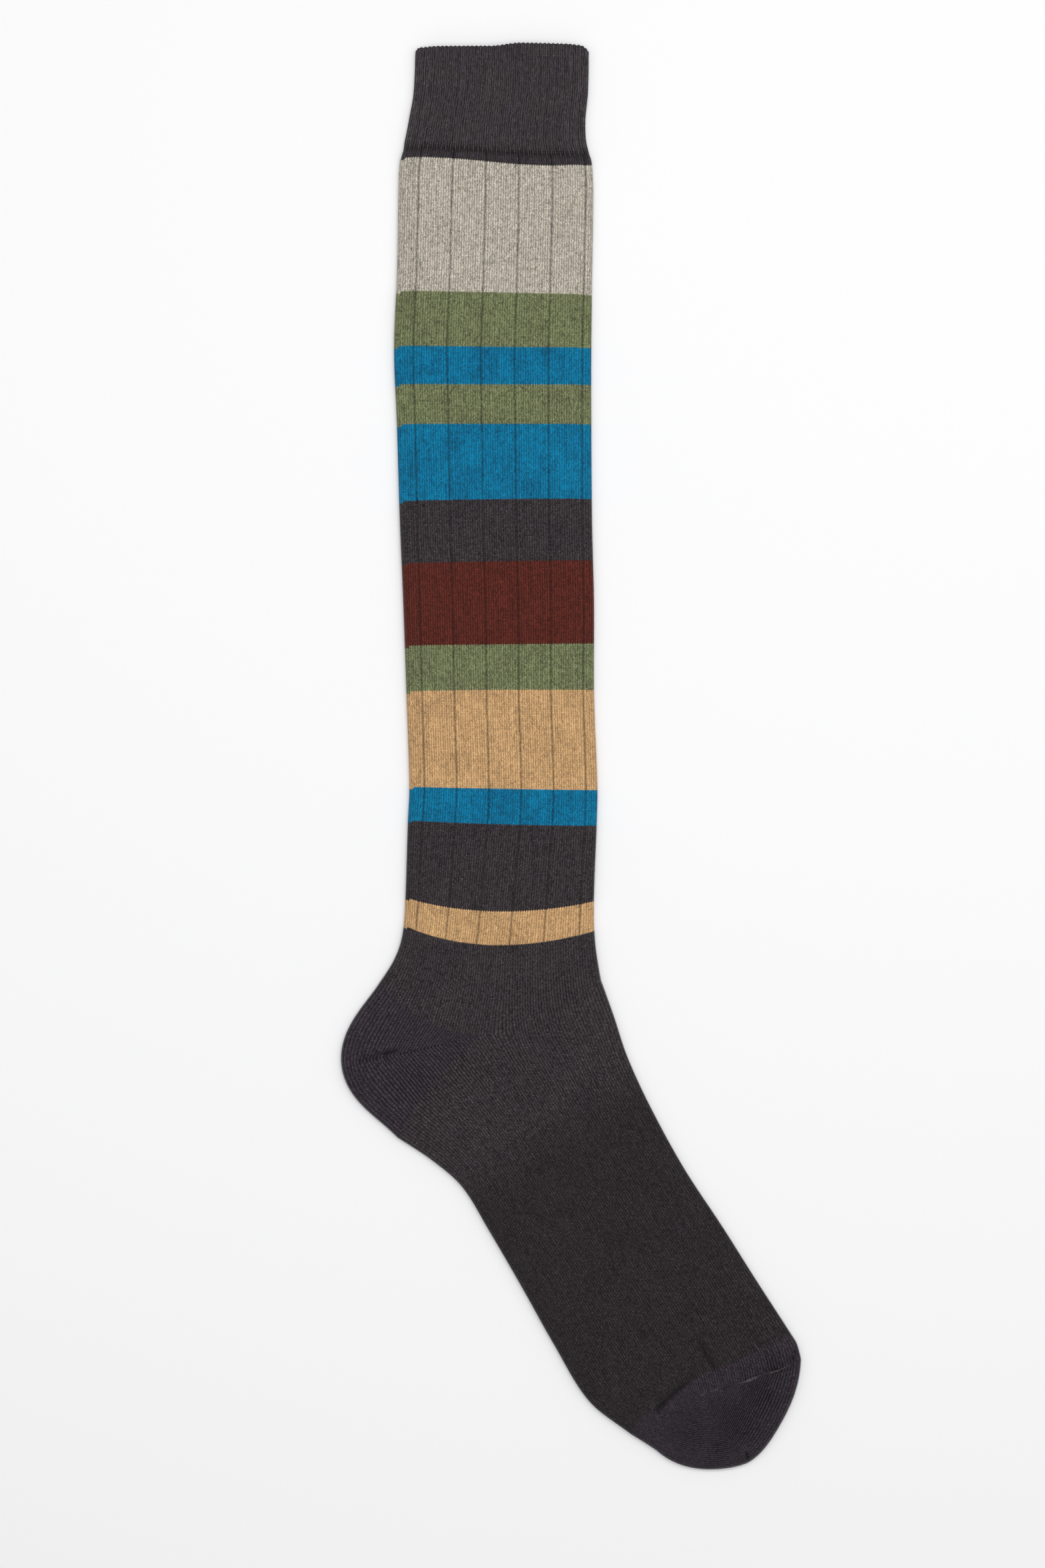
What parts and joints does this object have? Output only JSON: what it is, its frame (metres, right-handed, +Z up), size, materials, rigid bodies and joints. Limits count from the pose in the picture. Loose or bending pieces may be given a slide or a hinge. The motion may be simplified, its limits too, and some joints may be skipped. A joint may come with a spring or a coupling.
{
  "type": "long sock",
  "caption": "Long striped cotton sock lying flat on its side: rib cuff, striped leg, shaped heel, plain foot and closed toe.",
  "frame": {"origin": "middle of the lying sock's outline, on the surface that it lies on", "axes": "+Y up the leg towards the mouth of the cuff, +X towards the toe's side, +Z up from the surface"},
  "size_m": [0.1968, 0.6104, 0.0079],
  "materials": {
    "charcoal_rib": "matte one-and-one rib knit",
    "grey_knit": "matte heathered plain knit",
    "green_knit": "matte plain knit",
    "blue_knit": "matte plain knit",
    "charcoal_knit": "matte plain knit",
    "maroon_knit": "matte plain knit",
    "tan_knit": "matte heathered plain knit",
    "plum_black_knit": "matte plain knit, reinforced yarn"
  },
  "bodies": {
    "root": {"cuff": "charcoal_rib", "grey_band": "grey_knit", "green_band_1": "green_knit", "blue_band_1": "blue_knit", "green_band_2": "green_knit", "blue_band_2": "blue_knit", "charcoal_band_1": "charcoal_knit", "maroon_band": "maroon_knit", "green_band_3": "green_knit", "tan_band_1": "tan_knit", "blue_band_3": "blue_knit", "charcoal_band_2": "charcoal_knit", "tan_band_2": "tan_knit", "ankle": "charcoal_knit", "heel": "plum_black_knit", "foot": "charcoal_knit", "toe": "plum_black_knit"}
  },
  "joints": []
}
